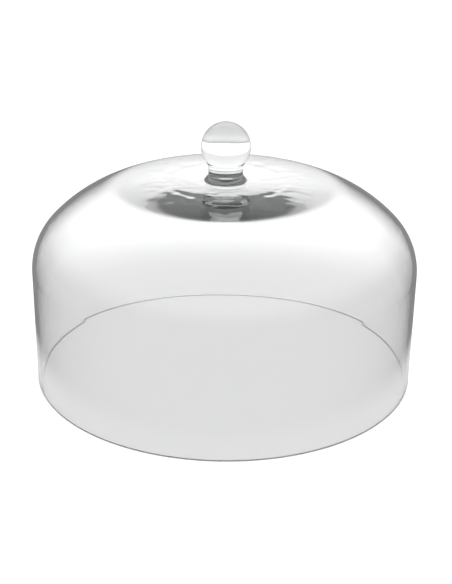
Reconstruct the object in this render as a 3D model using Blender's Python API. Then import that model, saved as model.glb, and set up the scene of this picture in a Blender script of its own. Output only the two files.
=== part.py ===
"""Glass cake dome: a blown shell with a flat ground rim, a glass wafer fused to its
crown, and a solid ball knob fused to the wafer.  It is one free-standing cover with
nothing that moves: it is lifted whole by the knob.

Metres, +Z up.  The origin is the centre of the rim's resting plane, on the dome's axis.
All three pieces are turned shapes about Z.
"""
import math

import bpy

# Shell, measured on the outside
RIM_RADIUS = 0.1425          # the wall is straight, so this is the widest place too
WALL_HEIGHT = 0.0858         # straight part of the wall, up to the shoulder
SHOULDER_ARC = 0.0447        # radius of the turn from the wall towards the crown
SHOULDER_TURN = math.radians(44.6)   # how far that turn goes before the crown's wider arc
CROWN_ARC = 0.1137           # radius of the crown, up to its flat top
WALL = 0.0030                # blown wall thickness
RIM_CHAMFER = 0.0005         # ground edges of the mouth, inside and outside

# The flat top of the crown, let down a little by the heat and weight of the knob
CROWN_SINK = 0.0018
SINK_FULL_RADIUS = 0.0163    # level inside this radius, where the wafer stands
SINK_END_RADIUS = 0.046
SINK_ROUNDING = 0.2          # share of the slope that each rounded end takes

# Lens of extra glass under the crown: steepest near its edge, then run out to nothing
LENS_RADIUS = 0.077
LENS_END_RADIUS = 0.091
LENS_SLOPE = 0.137           # at LENS_RADIUS, fall per run
LENS_POWER = 3.4             # how late the fall comes: 2 would be a plain shallow bowl

# Wafer between the crown and the knob
FUSE_GAP = 0.0003            # clearance that stands for each fused joint
WAFER_HEIGHT = 0.0045
WAFER_TOP_RADIUS = 0.0127
WAFER_FOOT_RADIUS = 0.0156
WAFER_EDGE_RADIUS = 0.0010   # melted round edge where the wafer meets the crown

# Knob
NECK_RADIUS = 0.0125         # where the neck stands on the wafer
NECK_FLARE = 0.05            # slope of the neck's side there, out per up
BALL_RADIUS = 0.0180
BALL_TOP_HEIGHT = 0.1930     # overall height of the dome
NECK_JOIN_ANGLE = math.radians(-35.0)   # latitude where the neck leaves the ball

# Facets
SHELL_SEGMENTS = 96
KNOB_SEGMENTS = 56
SHOULDER_STEPS = 9
CROWN_STEPS = 10
CROWN_FLAT_STEPS = 6
BALL_STEPS = 15
NECK_STEPS = 5
WAFER_STEPS = 4

GLASS_COLOUR = (0.93, 0.96, 0.96, 1.0)
GLASS_ROUGHNESS = 0.02
GLASS_IOR = 1.5


def clear_scene():
    for old in list(bpy.data.objects):
        bpy.data.objects.remove(old, do_unlink=True)


def glass(name):
    """Clear soda-lime glass, one material for each piece."""
    material = bpy.data.materials.new(name)
    material.use_nodes = True
    shader = material.node_tree.nodes["Principled BSDF"]
    shader.inputs["Base Color"].default_value = GLASS_COLOUR
    shader.inputs["Roughness"].default_value = GLASS_ROUGHNESS
    shader.inputs["Metallic"].default_value = 0.0
    shader.inputs["IOR"].default_value = GLASS_IOR
    shader.inputs["Transmission Weight"].default_value = 1.0
    return material


def crown_centre():
    """Centre of the crown's arc: it meets the shoulder's arc with no kink."""
    lead = CROWN_ARC - SHOULDER_ARC
    radius = RIM_RADIUS - SHOULDER_ARC - lead * math.cos(SHOULDER_TURN)
    return radius, WALL_HEIGHT - lead * math.sin(SHOULDER_TURN)


def dome_arc(inset):
    """Crown and shoulder from the axis out to the wall, inset from the outside."""
    flat_radius, arc_base = crown_centre()
    points = []
    for step in range(CROWN_FLAT_STEPS):
        points.append((flat_radius * step / CROWN_FLAT_STEPS, arc_base + CROWN_ARC - inset))
    for step in range(CROWN_STEPS):
        angle = math.pi / 2 - (math.pi / 2 - SHOULDER_TURN) * step / CROWN_STEPS
        points.append((flat_radius + (CROWN_ARC - inset) * math.cos(angle),
                       arc_base + (CROWN_ARC - inset) * math.sin(angle)))
    for step in range(SHOULDER_STEPS + 1):
        angle = SHOULDER_TURN * (1 - step / SHOULDER_STEPS)
        points.append((RIM_RADIUS - SHOULDER_ARC + (SHOULDER_ARC - inset) * math.cos(angle),
                       WALL_HEIGHT + (SHOULDER_ARC - inset) * math.sin(angle)))
    return points


def sink(radius):
    """How far the crown is let down at a radius: straight slope, rounded ends."""
    share = (SINK_END_RADIUS - radius) / (SINK_END_RADIUS - SINK_FULL_RADIUS)
    share = min(max(share, 0.0), 1.0)
    if share < SINK_ROUNDING:
        part = share ** 2 / (2 * SINK_ROUNDING * (1 - SINK_ROUNDING))
    elif share > 1 - SINK_ROUNDING:
        part = 1 - (1 - share) ** 2 / (2 * SINK_ROUNDING * (1 - SINK_ROUNDING))
    else:
        part = (share - SINK_ROUNDING / 2) / (1 - SINK_ROUNDING)
    return CROWN_SINK * part


def lens(radius):
    """Extra thickness under the crown at a radius."""
    run_out = LENS_END_RADIUS - LENS_RADIUS
    if radius >= LENS_END_RADIUS:
        return 0.0
    if radius >= LENS_RADIUS:
        return LENS_SLOPE * (LENS_END_RADIUS - radius) ** 2 / (2 * run_out)
    rise = 1 - (radius / LENS_RADIUS) ** LENS_POWER
    return LENS_SLOPE * (run_out / 2 + LENS_RADIUS / LENS_POWER * rise)


def shell_profile():
    """Outside of the crown, down the wall, across the flat rim and up the inside."""
    outside = dome_arc(0.0)
    rim_inside = RIM_RADIUS - WALL
    rim = [
        (RIM_RADIUS, RIM_CHAMFER),
        (RIM_RADIUS - RIM_CHAMFER, 0.0),
        (rim_inside + RIM_CHAMFER, 0.0),
        (rim_inside, RIM_CHAMFER),
    ]
    inside = dome_arc(WALL)
    top = [(radius, height - sink(radius)) for radius, height in outside]
    underside = [(radius, height - sink(radius) - lens(radius)) for radius, height in inside]
    return top + rim + underside[::-1]


def wafer_profile():
    """A low skirt that flares from the knob's neck to a melted edge on the crown."""
    edge_centre = WAFER_FOOT_RADIUS - WAFER_EDGE_RADIUS
    edge = []
    for step in range(WAFER_STEPS + 1):
        angle = -math.pi / 2 * step / WAFER_STEPS
        edge.append((edge_centre + WAFER_EDGE_RADIUS * math.cos(angle),
                     WAFER_EDGE_RADIUS * (1 + math.sin(angle))))
    return [(0.0, WAFER_HEIGHT), (WAFER_TOP_RADIUS, WAFER_HEIGHT)] + edge + [(0.0, 0.0)]


def knob_profile(height):
    """Ball, then a neck that runs smoothly from the ball to the foot, from top down."""
    centre = height - BALL_RADIUS
    points = []
    for step in range(BALL_STEPS + 1):
        angle = math.pi / 2 + (NECK_JOIN_ANGLE - math.pi / 2) * step / BALL_STEPS
        radius = BALL_RADIUS * math.cos(angle) if step else 0.0
        points.append((radius, centre + BALL_RADIUS * math.sin(angle)))
    join_radius, join_height = points[-1]
    join_slope = -math.tan(NECK_JOIN_ANGLE)
    for step in range(NECK_STEPS - 1, -1, -1):
        share = step / NECK_STEPS
        # Cubic from the foot to the ball that leaves each end along its own slope
        radius = (
            (2 * share ** 3 - 3 * share ** 2 + 1) * NECK_RADIUS
            + (share ** 3 - 2 * share ** 2 + share) * join_height * NECK_FLARE
            + (3 * share ** 2 - 2 * share ** 3) * join_radius
            + (share ** 3 - share ** 2) * join_height * join_slope
        )
        points.append((radius, join_height * share))
    return points + [(0.0, 0.0)]


def turned(name, profile, segments, base, parent):
    """A solid turned about Z from a profile that starts and ends on the axis."""
    mesh = bpy.data.meshes.new(name)
    edges = [(index, index + 1) for index in range(len(profile) - 1)]
    mesh.from_pydata([(radius, 0.0, height) for radius, height in profile], edges, [])
    piece = bpy.data.objects.new(name, mesh)
    bpy.context.scene.collection.objects.link(piece)
    piece.parent = parent
    piece.location = (0.0, 0.0, base)
    mesh.materials.append(glass(name + "_glass"))
    screw = piece.modifiers.new("Turn", "SCREW")
    screw.axis = "Z"
    screw.angle = 2 * math.pi
    screw.steps = segments
    screw.render_steps = segments
    screw.use_merge_vertices = True
    screw.merge_threshold = 0.00001
    screw.use_smooth_shade = True
    return piece


clear_scene()

dome = bpy.data.objects.new("cake_dome", None)
bpy.context.scene.collection.objects.link(dome)

foot_height = crown_centre()[1] + CROWN_ARC - CROWN_SINK
wafer_base = foot_height + FUSE_GAP
knob_base = wafer_base + WAFER_HEIGHT + FUSE_GAP

turned("dome_shell", shell_profile(), SHELL_SEGMENTS, 0.0, dome)
turned("knob_wafer", wafer_profile(), KNOB_SEGMENTS, wafer_base, dome)
turned("ball_knob", knob_profile(BALL_TOP_HEIGHT - knob_base), KNOB_SEGMENTS, knob_base, dome)
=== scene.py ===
import math

import bpy
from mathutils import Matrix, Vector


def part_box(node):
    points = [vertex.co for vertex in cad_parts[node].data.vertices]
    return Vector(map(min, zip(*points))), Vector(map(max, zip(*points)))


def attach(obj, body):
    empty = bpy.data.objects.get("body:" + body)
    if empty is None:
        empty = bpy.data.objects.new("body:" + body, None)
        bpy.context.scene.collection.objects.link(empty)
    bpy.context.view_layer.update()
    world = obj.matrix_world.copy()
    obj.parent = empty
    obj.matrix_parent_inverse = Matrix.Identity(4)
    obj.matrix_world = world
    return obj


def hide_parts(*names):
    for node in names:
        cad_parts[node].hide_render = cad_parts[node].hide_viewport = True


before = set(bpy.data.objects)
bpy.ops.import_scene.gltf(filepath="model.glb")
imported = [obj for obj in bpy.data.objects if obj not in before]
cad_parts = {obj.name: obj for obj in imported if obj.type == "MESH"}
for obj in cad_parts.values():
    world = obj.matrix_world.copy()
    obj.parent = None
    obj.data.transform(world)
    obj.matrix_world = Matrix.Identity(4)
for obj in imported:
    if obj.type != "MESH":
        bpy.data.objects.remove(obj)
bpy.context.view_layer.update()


# ---- Camera ----
# A portrait lens a little under a metre away looks down at the dome from the front,
# aimed at the wall below its middle.  It is turned a fraction of a degree, as by hand.
camera_distance = 0.855
camera_elevation = math.radians(23.353)
camera_roll = math.radians(0.71)
aim_height = 0.0612
aim_side = 0.0013
lens_mm = 69.5
film_mm = 36.0
camera_data = bpy.data.cameras.new("camera")
camera_data.lens = lens_mm
camera_data.sensor_width = film_mm
camera = bpy.data.objects.new("camera", camera_data)
camera.rotation_euler = (math.pi / 2 - camera_elevation, 0.0, 0.0)
camera.rotation_euler.rotate_axis("Z", camera_roll)
camera.location = (
    aim_side,
    -camera_distance * math.cos(camera_elevation),
    aim_height + camera_distance * math.sin(camera_elevation),
)
bpy.context.scene.collection.objects.link(camera)
bpy.context.scene.camera = camera


# ---- Studio ----
# A round table top and a surround that the camera sees plain white, brightest overhead where a large
# softbox hangs.
# The glass shows its form only by what of this it bends and mirrors. To those rays the table carries
# painted shade by the dome and in a dark ring past the rim, and the surround is dark low down.
class Maths:
    """A shader socket that Python's operators work on; each one adds its node."""

    def __init__(self, tree, socket=None):
        self.tree = tree
        self.socket = socket

    def node(self, kind, settings=None, sockets=None, output=0):
        made = self.tree.nodes.new(kind)
        for name, value in (settings or {}).items():
            setattr(made, name, value)
        for name, value in (sockets or {}).items():
            if isinstance(value, Maths):
                self.tree.links.new(value.socket, made.inputs[name])
            else:
                made.inputs[name].default_value = value
        return Maths(self.tree, made.outputs[output])

    def maths(self, operation, other, swapped=False):
        values = (other, self) if swapped else (self, other)
        return self.node("ShaderNodeMath", {"operation": operation}, dict(enumerate(values)))

    def __add__(self, other):
        return self.maths("ADD", other)

    def __sub__(self, other):
        return self.maths("SUBTRACT", other)

    def __rsub__(self, other):
        return self.maths("SUBTRACT", other, swapped=True)

    def __mul__(self, other):
        return self.maths("MULTIPLY", other)

    __radd__ = __add__
    __rmul__ = __mul__

    def ramp(self, start, end):
        """0 below start, 1 above end, smooth between; start may be the higher one."""
        settings = {"interpolation_type": "SMOOTHSTEP"}
        sockets = {"Value": self, "From Min": start, "From Max": end}
        return self.node("ShaderNodeMapRange", settings, sockets)


white = (1.0, 1.0, 1.0, 1.0)
backdrop_level = 1.0         # all round and low, and all that the camera sees directly
softbox_level = 1.3          # overhead
room_level = 0.24            # the unlit room low down, which only the glass mirrors
softbox_edge = [math.sin(math.radians(angle)) for angle in (2, 44)]

world = bpy.data.worlds.new("studio")
world.use_nodes = True
bpy.context.scene.world = world
surround = Maths(world.node_tree)
direction = surround.node("ShaderNodeTexCoord", output="Generated")
upward = surround.node("ShaderNodeSeparateXYZ", sockets={"Vector": direction}, output="Z")
to_camera = surround.node("ShaderNodeLightPath", output="Is Camera Ray")
mirrored = surround.node("ShaderNodeLightPath", output="Glossy Depth").maths("MINIMUM", 1.0)
overhead = upward.ramp(*softbox_edge)
low = backdrop_level + (room_level - backdrop_level) * mirrored
studio = low + (softbox_level - low) * overhead
brightness = studio + (backdrop_level - studio) * to_camera
background = world.node_tree.nodes["Background"]
world.node_tree.links.new(brightness.socket, background.inputs["Strength"])
background.inputs["Color"].default_value = white

table_radius = 6.0
table_sides = 96
dome_shade_tone, far_tone = 0.69, 1.14       # the table by the dome, darkened as painted shade, and away from it, over white so it gives back more light than falls on it
fade = [0.20, 0.40]                    # radii over which one turns into the other
shaded_tone = 0.24                     # the table as the glass mirrors it, past the rim
shade_start = [0.150, 0.190]
shade_end = [0.27, 0.34]
bpy.ops.object.select_all(action="DESELECT")
bpy.ops.mesh.primitive_circle_add(vertices=table_sides, radius=table_radius, fill_type="NGON")
table = bpy.context.object
table.name = "table_top"
table_paint = bpy.data.materials.new("table_top_white")
table_paint.use_nodes = True
paint = table_paint.node_tree.nodes["Principled BSDF"]
paint.inputs["Roughness"].default_value = 1.0
paint.inputs["Specular IOR Level"].default_value = 0.0
finish = Maths(table_paint.node_tree)
to_camera = finish.node("ShaderNodeLightPath", output="Is Camera Ray")
place = finish.node("ShaderNodeTexCoord", output="Object")
reach = finish.node("ShaderNodeVectorMath", {"operation": "LENGTH"}, {"Vector": place}, output="Value")
# Painted shade: to every ray but the camera's, the table is darker by the dome and over white away from
# it. Camera rays see it plain white.
tone = dome_shade_tone + (far_tone - dome_shade_tone) * reach.ramp(*fade)
tone = tone + (1.0 - tone) * to_camera
mirrored = finish.node("ShaderNodeLightPath", output="Glossy Depth").maths("MINIMUM", 1.0)
shade = shaded_tone + (room_level - shaded_tone) * reach.ramp(*shade_end)
tone = tone + (shade - tone) * mirrored * reach.ramp(*shade_start)
table_paint.node_tree.links.new(tone.socket, paint.inputs["Base Color"])
table.data.materials.append(table_paint)

# Light has to cross many glass faces, and stays sharp as it does.
light_bounces = 64
bpy.context.scene.view_settings.view_transform = "Standard"
bpy.context.scene.cycles.blur_glossy = 0.0
bpy.context.scene.cycles.max_bounces = light_bounces
bpy.context.scene.cycles.transmission_bounces = light_bounces
bpy.context.scene.cycles.glossy_bounces = light_bounces
bpy.context.scene.cycles.transparent_max_bounces = light_bounces


# ---- Dome shell ----
# Soda-lime glass blown to a straight wall, a round shoulder and a flat-topped crown.
# The mouth is cut and ground flat with its two edges broken; the crown is left thicker
# underneath, in a shallow lens, where the hot knob was set on it.
_, shell_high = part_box("dome_shell")
_, wafer_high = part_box("knob_wafer")
rim_radius = shell_high.x
crown_height = shell_high.z
wall = 0.0030
wall_height = 0.0858
wall_steps = 24
shoulder_arc = 0.0447
shoulder_turn = math.radians(44.6)
shoulder_steps = 28
crown_arc = 0.1137
crown_steps = 40
lens_radius = 0.077
lens_end_radius = 0.091
lens_slope = 0.137
lens_power = 3.4
crown_sink = 0.0018
sink_full_radius = 0.0163
sink_end_radius = 0.046
sink_rounding = 0.2
rim_chamfer = 0.0005
joint_radius = wafer_high.x - 0.0010   # inside the wafer's rounded foot
shell_sides = 256
smooth_angle = math.radians(35)


def turn(name, outline, sides):
    """Draws an outline vertex by vertex at +X and spins it round Z into a closed body."""
    bpy.ops.object.select_all(action="DESELECT")
    bpy.ops.mesh.primitive_plane_add(size=wall)
    piece = bpy.context.object
    piece.name = name
    bpy.ops.object.mode_set(mode="EDIT")
    bpy.ops.mesh.select_all(action="SELECT")
    bpy.ops.mesh.merge(type="CENTER")
    bpy.ops.transform.translate(value=(outline[0][0], 0.0, outline[0][1]))
    for (radius, height), (next_radius, next_height) in zip(outline, outline[1:]):
        stretch = (next_radius - radius, 0.0, next_height - height)
        bpy.ops.mesh.extrude_region_move(TRANSFORM_OT_translate={"value": stretch})
    bpy.ops.mesh.select_all(action="SELECT")
    bpy.ops.mesh.spin(steps=sides, angle=2 * math.pi, center=(0, 0, 0), axis=(0, 0, 1))
    bpy.ops.mesh.select_all(action="SELECT")
    bpy.ops.mesh.remove_doubles(threshold=0.000002)
    bpy.ops.mesh.normals_make_consistent(inside=False)
    bpy.ops.object.mode_set(mode="OBJECT")
    bpy.ops.object.shade_smooth_by_angle(angle=smooth_angle)
    return piece


def arc(centre_radius, centre_height, size, start, end, steps):
    """Points of a circle from one latitude to another, the last one left out."""
    angles = [start + (end - start) * step / steps for step in range(steps)]
    return [
        (centre_radius + size * math.cos(angle), centre_height + size * math.sin(angle))
        for angle in angles
    ]


def flat(radius_from, radius_to, height, steps):
    """Points along a level line, the last one left out."""
    return [(radius_from + (radius_to - radius_from) * step / steps, height) for step in range(steps)]


def dome_arc(inset):
    """The shell's side from the edge of the flat crown down to the top of the wall."""
    lead = crown_arc - shoulder_arc
    shoulder_radius = rim_radius - shoulder_arc
    crown_radius = shoulder_radius - lead * math.cos(shoulder_turn)
    crown_base = wall_height - lead * math.sin(shoulder_turn)
    crown = arc(crown_radius, crown_base, crown_arc - inset, math.pi / 2, shoulder_turn, crown_steps)
    shoulder = arc(shoulder_radius, wall_height, shoulder_arc - inset, shoulder_turn, 0.0, shoulder_steps)
    return crown + shoulder + [(rim_radius - inset, wall_height)]


def sink(radius):
    """How far the crown has come down at a radius: a straight slope with rounded ends."""
    share = (sink_end_radius - radius) / (sink_end_radius - sink_full_radius)
    share = min(max(share, 0.0), 1.0)
    if share < sink_rounding:
        return crown_sink * share ** 2 / (2 * sink_rounding * (1 - sink_rounding))
    if share > 1 - sink_rounding:
        return crown_sink * (1 - (1 - share) ** 2 / (2 * sink_rounding * (1 - sink_rounding)))
    return crown_sink * (share - sink_rounding / 2) / (1 - sink_rounding)


def lens(radius):
    """Extra thickness under the crown at a radius."""
    run_out = lens_end_radius - lens_radius
    if radius >= lens_end_radius:
        return 0.0
    if radius >= lens_radius:
        return lens_slope * (lens_end_radius - radius) ** 2 / (2 * run_out)
    rise = 1 - (radius / lens_radius) ** lens_power
    return lens_slope * (run_out / 2 + lens_radius / lens_power * rise)


outside = dome_arc(0.0)
underside = dome_arc(wall)
flat_radius = outside[0][0]
crown_flat = flat(0.0, joint_radius, crown_height, 4) + flat(joint_radius, flat_radius, crown_height, 24)
under_flat = flat(0.0, flat_radius, crown_height - wall, 36)
wall_outside = [(rim_radius, wall_height * (1 - step / wall_steps)) for step in range(1, wall_steps)]
wall_inside = [(rim_radius - wall, height) for _, height in wall_outside]
rim = [
    (rim_radius, rim_chamfer),
    (rim_radius - rim_chamfer, 0.0),
    (rim_radius - wall + rim_chamfer, 0.0),
    (rim_radius - wall, rim_chamfer),
]
top = [(radius, height - sink(radius)) for radius, height in crown_flat + outside]
inside = [(radius, height - sink(radius) - lens(radius)) for radius, height in under_flat + underside]
outline = top + wall_outside + rim + (inside + wall_inside)[::-1]
shell = turn("blown_shell", outline, shell_sides)

# Under the crown the gather set unevenly, in low swells that fade out with the lens.
swell_height = 0.00011
swell_size = 0.011
swell_full_radius = 0.050
swell_end_radius = 0.070
swells = bpy.data.textures.new("gather_swells", "CLOUDS")
swells.noise_scale = swell_size
swells.noise_depth = 1
under_crown = shell.vertex_groups.new(name="under_crown")
for vertex in shell.data.vertices:
    reach = math.hypot(vertex.co.x, vertex.co.y)
    beneath = crown_height - sink(reach) - vertex.co.z > wall * 0.9
    if beneath and reach < swell_end_radius:
        weight = min(1.0, (swell_end_radius - reach) / (swell_end_radius - swell_full_radius))
        under_crown.add([vertex.index], weight, "REPLACE")
bpy.ops.object.select_all(action="DESELECT")
shell.select_set(True)
bpy.context.view_layer.objects.active = shell
swelling = shell.modifiers.new("swells", "DISPLACE")
swelling.texture = swells
swelling.texture_coords = "LOCAL"
swelling.direction = "Z"
swelling.vertex_group = "under_crown"
swelling.strength = swell_height * 2
swelling.mid_level = 0.5
bpy.ops.object.modifier_apply(modifier="swells")

glass_ior = 1.5
glass_tint = (0.50, 0.52, 0.52, 1.0)
ground_roughness = 0.4
ground_edge = [rim_chamfer * 1.2, rim_chamfer * 0.2]
skin_swells_per_metre = 22.0
skin_depth = 0.001


def glass(name, waviness, grey):
    """Clear glass: a faint uneven skin, and the grey of a long path through it."""
    material = bpy.data.materials.new(name)
    material.use_nodes = True
    tree = material.node_tree
    shader = tree.nodes["Principled BSDF"]
    shader.inputs["Base Color"].default_value = white
    shader.inputs["Transmission Weight"].default_value = 1.0
    shader.inputs["IOR"].default_value = glass_ior
    build = Maths(tree)
    place = build.node("ShaderNodeTexCoord", output="Object")
    height = build.node("ShaderNodeSeparateXYZ", sockets={"Vector": place}, output="Z")
    roughness = height.ramp(*ground_edge) * ground_roughness
    tree.links.new(roughness.socket, shader.inputs["Roughness"])
    skin = {"Vector": place, "Scale": skin_swells_per_metre, "Detail": 1.0}
    swell = build.node("ShaderNodeTexNoise", sockets=skin)
    unevenness = {"Strength": waviness, "Distance": skin_depth, "Height": swell}
    bump = build.node("ShaderNodeBump", sockets=unevenness)
    tree.links.new(bump.socket, shader.inputs["Normal"])
    tint = {"Color": glass_tint, "Density": grey}
    absorption = build.node("ShaderNodeVolumeAbsorption", sockets=tint)
    tree.links.new(absorption.socket, tree.nodes["Material Output"].inputs["Volume"])
    return material


def joint():
    """The fused joint: no surface is left where two pieces melted together."""
    material = bpy.data.materials.new("fused_joint")
    material.use_nodes = True
    shader = material.node_tree.nodes["Principled BSDF"]
    shader.inputs["Base Color"].default_value = white
    shader.inputs["Alpha"].default_value = 0.0
    return material


fused = joint()
joint_reach = 0.00002        # how near a joint's height its faces lie
level_enough = 0.99


def fuse(piece, heights, radius):
    """Gives the joint material to the level faces at these heights, out to a radius."""
    piece.data.materials.append(fused)
    for face in piece.data.polygons:
        level = abs(face.normal.z) > level_enough
        near = any(abs(face.center.z - height) < joint_reach for height in heights)
        if level and near and math.hypot(face.center.x, face.center.y) < radius:
            face.material_index = 1


shell_waviness = 0.1
shell_grey = 24.0
shell.data.materials.append(glass("shell_glass", shell_waviness, shell_grey))
foot_height = crown_height - crown_sink
fuse(shell, [foot_height], joint_radius)
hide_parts("dome_shell")
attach(shell, "root")


# ---- Wafer ----
# A gather of glass pressed to a low skirt between the knob and the crown, its edge
# melted round on the crown and drawn in to the neck above.
seam = 0.00001
wafer_top = wafer_high.z
wafer_base = foot_height + seam
wafer_edge = 0.0010
wafer_foot = wafer_high.x
wafer_neck = 0.0127
crease = 0.0003
skirt_steps = 8
edge_steps = 8
crease_steps = 4
wafer_sides = 160
wafer_waviness = 0.05
wafer_grey = 4.0
skirt_start = wafer_top - crease
skirt_end = wafer_base + wafer_edge
skirt = [
    (wafer_neck + (wafer_foot - wafer_neck) * (step / skirt_steps),
     skirt_start + (skirt_end - skirt_start) * (step / skirt_steps))
    for step in range(skirt_steps)
]
melted = arc(wafer_foot - wafer_edge, skirt_end, wafer_edge, 0.0, -math.pi / 2, edge_steps)
round_top = arc(wafer_neck - crease, skirt_start, crease, math.pi / 2, 0.0, crease_steps)
outline = flat(0.0, wafer_neck - crease, wafer_top, 3) + round_top + skirt + melted
outline += flat(joint_radius, 0.0, wafer_base, 4) + [(0.0, wafer_base)]
wafer = turn("pressed_wafer", outline, wafer_sides)
wafer.data.materials.append(glass("wafer_glass", wafer_waviness, wafer_grey))
fuse(wafer, [wafer_top, wafer_base], joint_radius)
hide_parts("knob_wafer")
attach(wafer, "root")


# ---- Knob ----
# A solid ball of glass shaped on the block, its neck drawn down and set hot on the wafer.
_, knob_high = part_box("ball_knob")
ball_radius = knob_high.x
ball_steps = 90
knob_base = wafer_top + seam
ball_centre = knob_high.z - ball_radius
neck_radius = 0.0125
neck_join = math.radians(-35.0)
neck_flare = 0.05
neck_steps = 24
knob_sides = 192
knob_waviness = 0.05
knob_grey = 8.0
join_radius = ball_radius * math.cos(neck_join)
join_height = ball_centre + ball_radius * math.sin(neck_join) - knob_base


def neck_point(share):
    """Cubic from the foot (0) to the ball (1) that leaves each end along its slope."""
    radius = (
        (2 * share ** 3 - 3 * share ** 2 + 1) * neck_radius
        + (share ** 3 - 2 * share ** 2 + share) * join_height * neck_flare
        + (3 * share ** 2 - 2 * share ** 3) * join_radius
        - (share ** 3 - share ** 2) * join_height * math.tan(neck_join)
    )
    return radius, knob_base + join_height * share


ball_side = arc(0.0, ball_centre, ball_radius, math.pi / 2, neck_join, ball_steps)
ball = [(0.0, knob_high.z)] + ball_side[1:]
neck = [neck_point(1 - step / neck_steps) for step in range(neck_steps)]
foot = arc(neck_radius - crease, knob_base + crease, crease, 0.0, -math.pi / 2, crease_steps)
outline = ball + neck + foot + flat(neck_radius - crease, 0.0, knob_base, 3) + [(0.0, knob_base)]
knob = turn("ball_on_neck", outline, knob_sides)
knob.data.materials.append(glass("knob_glass", knob_waviness, knob_grey))
fuse(knob, [knob_base], neck_radius)
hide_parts("ball_knob")
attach(knob, "root")
